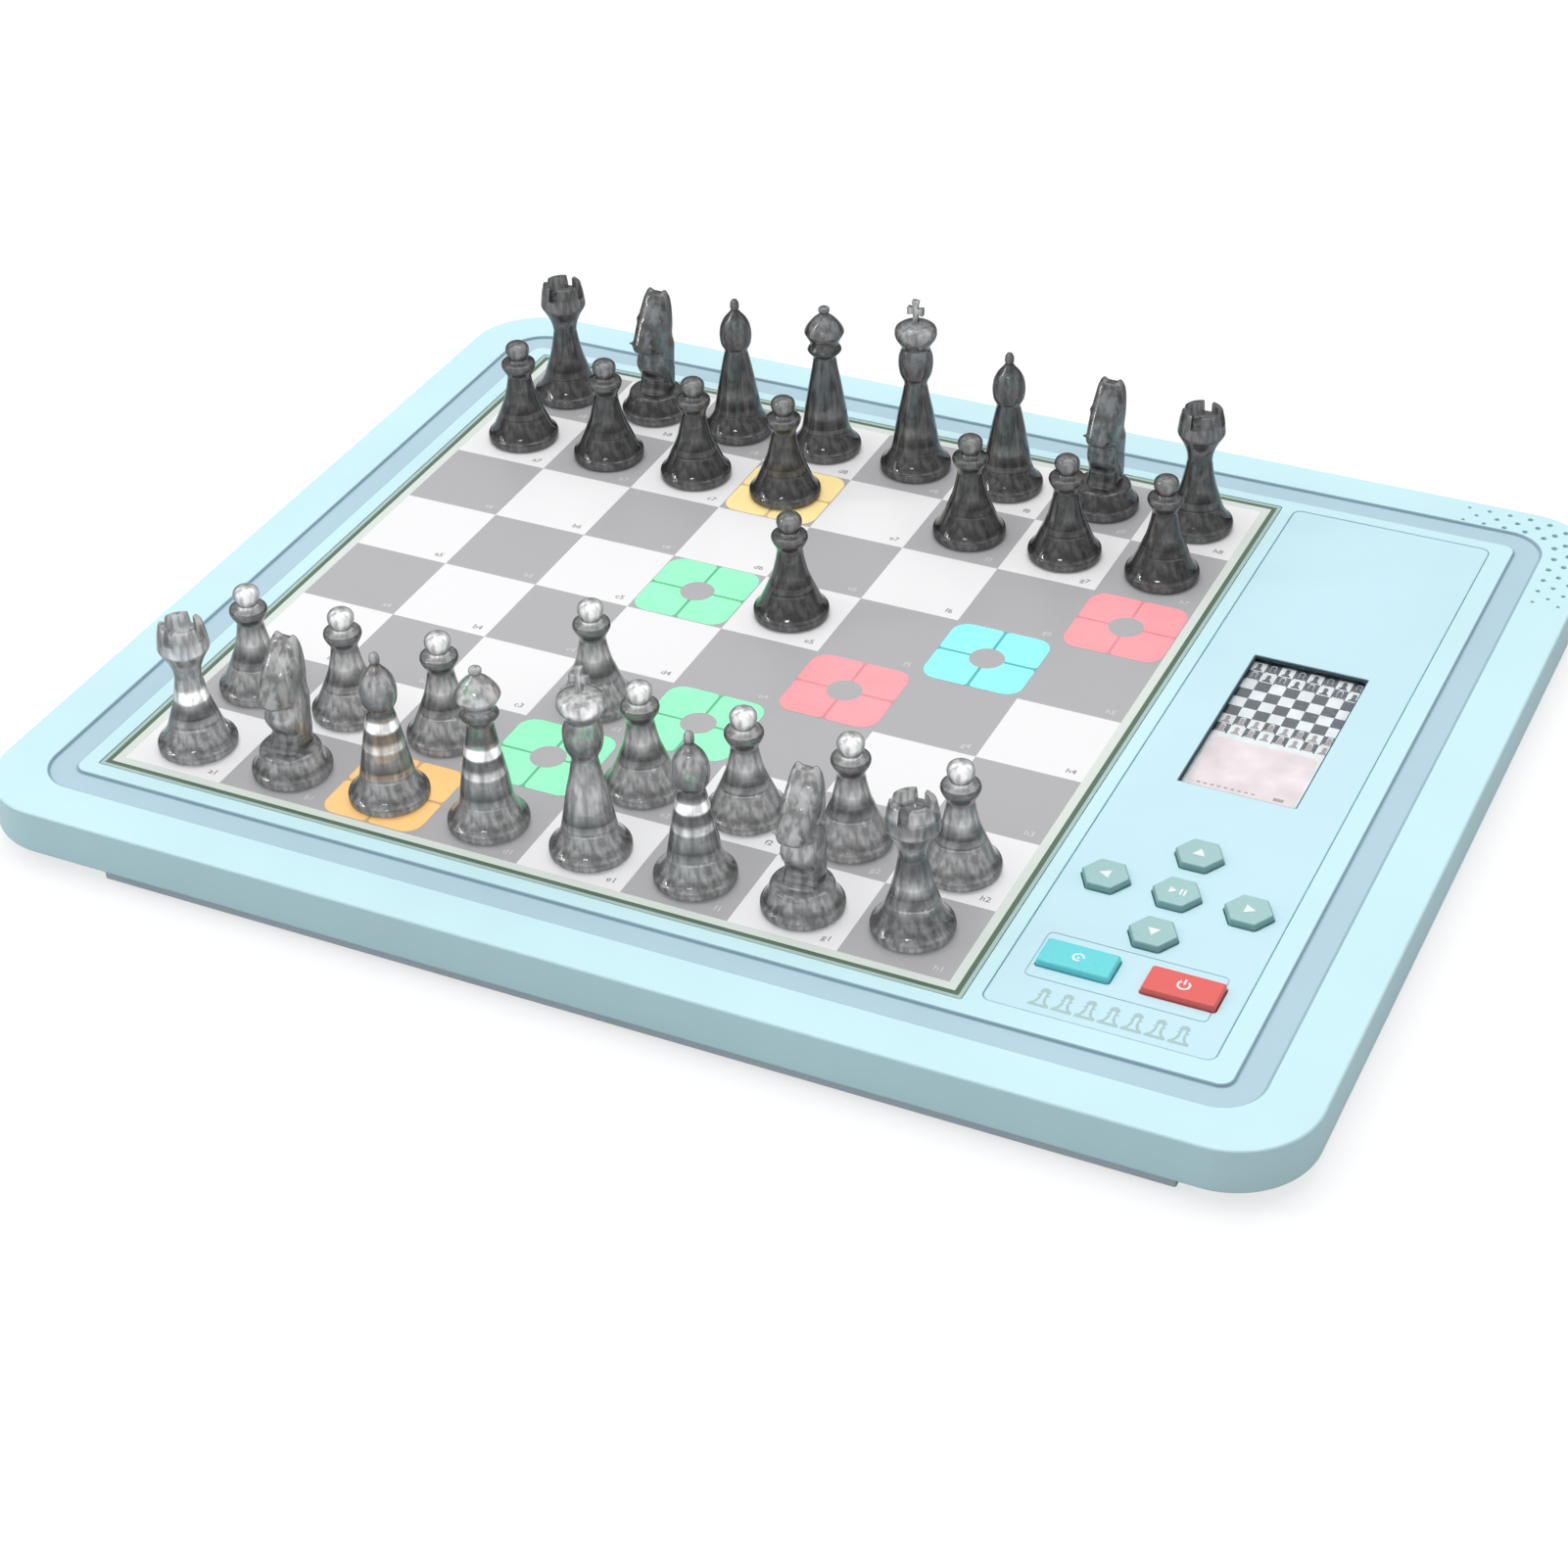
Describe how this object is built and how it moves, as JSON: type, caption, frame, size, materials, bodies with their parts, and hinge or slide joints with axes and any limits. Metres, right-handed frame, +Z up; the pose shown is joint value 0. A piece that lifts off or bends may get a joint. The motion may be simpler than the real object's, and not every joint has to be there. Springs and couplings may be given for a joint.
{
  "type": "electronic chess computer",
  "caption": "Slab-bodied electronic chess computer with a light-up playing field, key panel, display and a full set of chess pieces.",
  "frame": {"origin": "centre of the body's footprint, on the plane that the rubber feet rest on", "axes": "+X along the long side from the board towards the key panel, +Y from the near edge to the far edge, +Z up"},
  "size_m": [0.394, 0.322, 0.0789],
  "materials": {
    "cover": "satin pale blue moulding, fine texture",
    "pan": "grey-blue moulding, fine texture",
    "printed_sheet": "translucent printed sheet, semi-gloss",
    "panel": "satin pale blue",
    "clear_lens": "clear polished",
    "display": "colour display",
    "grey_green_key_plastic": "satin, slightly translucent",
    "cyan_key_plastic": "satin",
    "red_key_plastic": "satin",
    "light_grid": "matt white",
    "circuit_board": "solder mask",
    "foot_rubber": "matt",
    "silicone_mat": "matt",
    "speaker_cone": "matt",
    "battery_foil": "foil pouch",
    "bright_steel": "plated",
    "clear_acrylic": "clear polished acrylic",
    "smoke_acrylic": "smoke-tinted polished acrylic"
  },
  "bodies": {
    "board": {"top_cover": "cover", "bottom_cover": "pan", "playing_surface": "printed_sheet", "light_guide_grid": "light_grid", "sensor_board": "circuit_board", "control_board": "circuit_board", "control_panel": "panel", "display_window": "clear_lens", "display_module": "display", "key_mat": "silicone_mat", "speaker": "speaker_cone", "battery_pack": "battery_foil", "usb_socket": "bright_steel", "rubber_foot_1": "foot_rubber", "rubber_foot_2": "foot_rubber", "rubber_foot_3": "foot_rubber", "rubber_foot_4": "foot_rubber", "case_screw_1": "bright_steel", "case_screw_2": "bright_steel", "case_screw_3": "bright_steel", "case_screw_4": "bright_steel"},
    "up_key": {"up_key": "grey_green_key_plastic"},
    "down_key": {"down_key": "grey_green_key_plastic"},
    "left_key": {"left_key": "grey_green_key_plastic"},
    "right_key": {"right_key": "grey_green_key_plastic"},
    "centre_key": {"centre_key": "grey_green_key_plastic"},
    "cyan_key": {"cyan_key": "cyan_key_plastic"},
    "red_key": {"red_key": "red_key_plastic"},
    "clear_rook_a1": {"clear_rook_a1": "clear_acrylic"},
    "clear_rook_h1": {"clear_rook_h1": "clear_acrylic"},
    "smoke_rook_a8": {"smoke_rook_a8": "smoke_acrylic"},
    "smoke_rook_h8": {"smoke_rook_h8": "smoke_acrylic"},
    "clear_knight_b1": {"clear_knight_b1": "clear_acrylic"},
    "clear_knight_g1": {"clear_knight_g1": "clear_acrylic"},
    "smoke_knight_b8": {"smoke_knight_b8": "smoke_acrylic"},
    "smoke_knight_g8": {"smoke_knight_g8": "smoke_acrylic"},
    "clear_bishop_c1": {"clear_bishop_c1": "clear_acrylic"},
    "clear_bishop_f1": {"clear_bishop_f1": "clear_acrylic"},
    "smoke_bishop_c8": {"smoke_bishop_c8": "smoke_acrylic"},
    "smoke_bishop_f8": {"smoke_bishop_f8": "smoke_acrylic"},
    "clear_queen_d1": {"clear_queen_d1": "clear_acrylic"},
    "smoke_queen_d8": {"smoke_queen_d8": "smoke_acrylic"},
    "clear_king_e1": {"clear_king_e1": "clear_acrylic"},
    "smoke_king_e8": {"smoke_king_e8": "smoke_acrylic"},
    "clear_pawn_a2": {"clear_pawn_a2": "clear_acrylic"},
    "clear_pawn_b2": {"clear_pawn_b2": "clear_acrylic"},
    "clear_pawn_c2": {"clear_pawn_c2": "clear_acrylic"},
    "clear_pawn_d3": {"clear_pawn_d3": "clear_acrylic"},
    "clear_pawn_e2": {"clear_pawn_e2": "clear_acrylic"},
    "clear_pawn_f2": {"clear_pawn_f2": "clear_acrylic"},
    "clear_pawn_g2": {"clear_pawn_g2": "clear_acrylic"},
    "clear_pawn_h2": {"clear_pawn_h2": "clear_acrylic"},
    "smoke_pawn_a7": {"smoke_pawn_a7": "smoke_acrylic"},
    "smoke_pawn_b7": {"smoke_pawn_b7": "smoke_acrylic"},
    "smoke_pawn_c7": {"smoke_pawn_c7": "smoke_acrylic"},
    "smoke_pawn_d7": {"smoke_pawn_d7": "smoke_acrylic"},
    "smoke_pawn_e5": {"smoke_pawn_e5": "smoke_acrylic"},
    "smoke_pawn_f7": {"smoke_pawn_f7": "smoke_acrylic"},
    "smoke_pawn_g7": {"smoke_pawn_g7": "smoke_acrylic"},
    "smoke_pawn_h7": {"smoke_pawn_h7": "smoke_acrylic"}
  },
  "joints": [
    {"name": "press_up_key", "type": "slide", "parent": "board", "child": "up_key", "axis": [0, 0, -1], "range_m": [0, 0.001], "stiffness_N_per_m": 200},
    {"name": "press_down_key", "type": "slide", "parent": "board", "child": "down_key", "axis": [0, 0, -1], "range_m": [0, 0.001], "stiffness_N_per_m": 200},
    {"name": "press_left_key", "type": "slide", "parent": "board", "child": "left_key", "axis": [0, 0, -1], "range_m": [0, 0.001], "stiffness_N_per_m": 200},
    {"name": "press_right_key", "type": "slide", "parent": "board", "child": "right_key", "axis": [0, 0, -1], "range_m": [0, 0.001], "stiffness_N_per_m": 200},
    {"name": "press_centre_key", "type": "slide", "parent": "board", "child": "centre_key", "axis": [0, 0, -1], "range_m": [0, 0.001], "stiffness_N_per_m": 200},
    {"name": "press_cyan_key", "type": "slide", "parent": "board", "child": "cyan_key", "axis": [0, 0, -1], "range_m": [0, 0.001], "stiffness_N_per_m": 200},
    {"name": "press_red_key", "type": "slide", "parent": "board", "child": "red_key", "axis": [0, 0, -1], "range_m": [0, 0.001], "stiffness_N_per_m": 200},
    {"name": "lift_clear_rook_a1", "type": "slide", "parent": "board", "child": "clear_rook_a1", "axis": [0, 0, 1], "range_m": [0, 0.075]},
    {"name": "lift_clear_rook_h1", "type": "slide", "parent": "board", "child": "clear_rook_h1", "axis": [0, 0, 1], "range_m": [0, 0.075]},
    {"name": "lift_smoke_rook_a8", "type": "slide", "parent": "board", "child": "smoke_rook_a8", "axis": [0, 0, 1], "range_m": [0, 0.075]},
    {"name": "lift_smoke_rook_h8", "type": "slide", "parent": "board", "child": "smoke_rook_h8", "axis": [0, 0, 1], "range_m": [0, 0.075]},
    {"name": "lift_clear_knight_b1", "type": "slide", "parent": "board", "child": "clear_knight_b1", "axis": [0, 0, 1], "range_m": [0, 0.075]},
    {"name": "lift_clear_knight_g1", "type": "slide", "parent": "board", "child": "clear_knight_g1", "axis": [0, 0, 1], "range_m": [0, 0.075]},
    {"name": "lift_smoke_knight_b8", "type": "slide", "parent": "board", "child": "smoke_knight_b8", "axis": [0, 0, 1], "range_m": [0, 0.075]},
    {"name": "lift_smoke_knight_g8", "type": "slide", "parent": "board", "child": "smoke_knight_g8", "axis": [0, 0, 1], "range_m": [0, 0.075]},
    {"name": "lift_clear_bishop_c1", "type": "slide", "parent": "board", "child": "clear_bishop_c1", "axis": [0, 0, 1], "range_m": [0, 0.075]},
    {"name": "lift_clear_bishop_f1", "type": "slide", "parent": "board", "child": "clear_bishop_f1", "axis": [0, 0, 1], "range_m": [0, 0.075]},
    {"name": "lift_smoke_bishop_c8", "type": "slide", "parent": "board", "child": "smoke_bishop_c8", "axis": [0, 0, 1], "range_m": [0, 0.075]},
    {"name": "lift_smoke_bishop_f8", "type": "slide", "parent": "board", "child": "smoke_bishop_f8", "axis": [0, 0, 1], "range_m": [0, 0.075]},
    {"name": "lift_clear_queen_d1", "type": "slide", "parent": "board", "child": "clear_queen_d1", "axis": [0, 0, 1], "range_m": [0, 0.075]},
    {"name": "lift_smoke_queen_d8", "type": "slide", "parent": "board", "child": "smoke_queen_d8", "axis": [0, 0, 1], "range_m": [0, 0.075]},
    {"name": "lift_clear_king_e1", "type": "slide", "parent": "board", "child": "clear_king_e1", "axis": [0, 0, 1], "range_m": [0, 0.075]},
    {"name": "lift_smoke_king_e8", "type": "slide", "parent": "board", "child": "smoke_king_e8", "axis": [0, 0, 1], "range_m": [0, 0.075]},
    {"name": "lift_clear_pawn_a2", "type": "slide", "parent": "board", "child": "clear_pawn_a2", "axis": [0, 0, 1], "range_m": [0, 0.075]},
    {"name": "lift_clear_pawn_b2", "type": "slide", "parent": "board", "child": "clear_pawn_b2", "axis": [0, 0, 1], "range_m": [0, 0.075]},
    {"name": "lift_clear_pawn_c2", "type": "slide", "parent": "board", "child": "clear_pawn_c2", "axis": [0, 0, 1], "range_m": [0, 0.075]},
    {"name": "lift_clear_pawn_d3", "type": "slide", "parent": "board", "child": "clear_pawn_d3", "axis": [0, 0, 1], "range_m": [0, 0.075]},
    {"name": "lift_clear_pawn_e2", "type": "slide", "parent": "board", "child": "clear_pawn_e2", "axis": [0, 0, 1], "range_m": [0, 0.075]},
    {"name": "lift_clear_pawn_f2", "type": "slide", "parent": "board", "child": "clear_pawn_f2", "axis": [0, 0, 1], "range_m": [0, 0.075]},
    {"name": "lift_clear_pawn_g2", "type": "slide", "parent": "board", "child": "clear_pawn_g2", "axis": [0, 0, 1], "range_m": [0, 0.075]},
    {"name": "lift_clear_pawn_h2", "type": "slide", "parent": "board", "child": "clear_pawn_h2", "axis": [0, 0, 1], "range_m": [0, 0.075]},
    {"name": "lift_smoke_pawn_a7", "type": "slide", "parent": "board", "child": "smoke_pawn_a7", "axis": [0, 0, 1], "range_m": [0, 0.075]},
    {"name": "lift_smoke_pawn_b7", "type": "slide", "parent": "board", "child": "smoke_pawn_b7", "axis": [0, 0, 1], "range_m": [0, 0.075]},
    {"name": "lift_smoke_pawn_c7", "type": "slide", "parent": "board", "child": "smoke_pawn_c7", "axis": [0, 0, 1], "range_m": [0, 0.075]},
    {"name": "lift_smoke_pawn_d7", "type": "slide", "parent": "board", "child": "smoke_pawn_d7", "axis": [0, 0, 1], "range_m": [0, 0.075]},
    {"name": "lift_smoke_pawn_e5", "type": "slide", "parent": "board", "child": "smoke_pawn_e5", "axis": [0, 0, 1], "range_m": [0, 0.075]},
    {"name": "lift_smoke_pawn_f7", "type": "slide", "parent": "board", "child": "smoke_pawn_f7", "axis": [0, 0, 1], "range_m": [0, 0.075]},
    {"name": "lift_smoke_pawn_g7", "type": "slide", "parent": "board", "child": "smoke_pawn_g7", "axis": [0, 0, 1], "range_m": [0, 0.075]},
    {"name": "lift_smoke_pawn_h7", "type": "slide", "parent": "board", "child": "smoke_pawn_h7", "axis": [0, 0, 1], "range_m": [0, 0.075]}
  ]
}
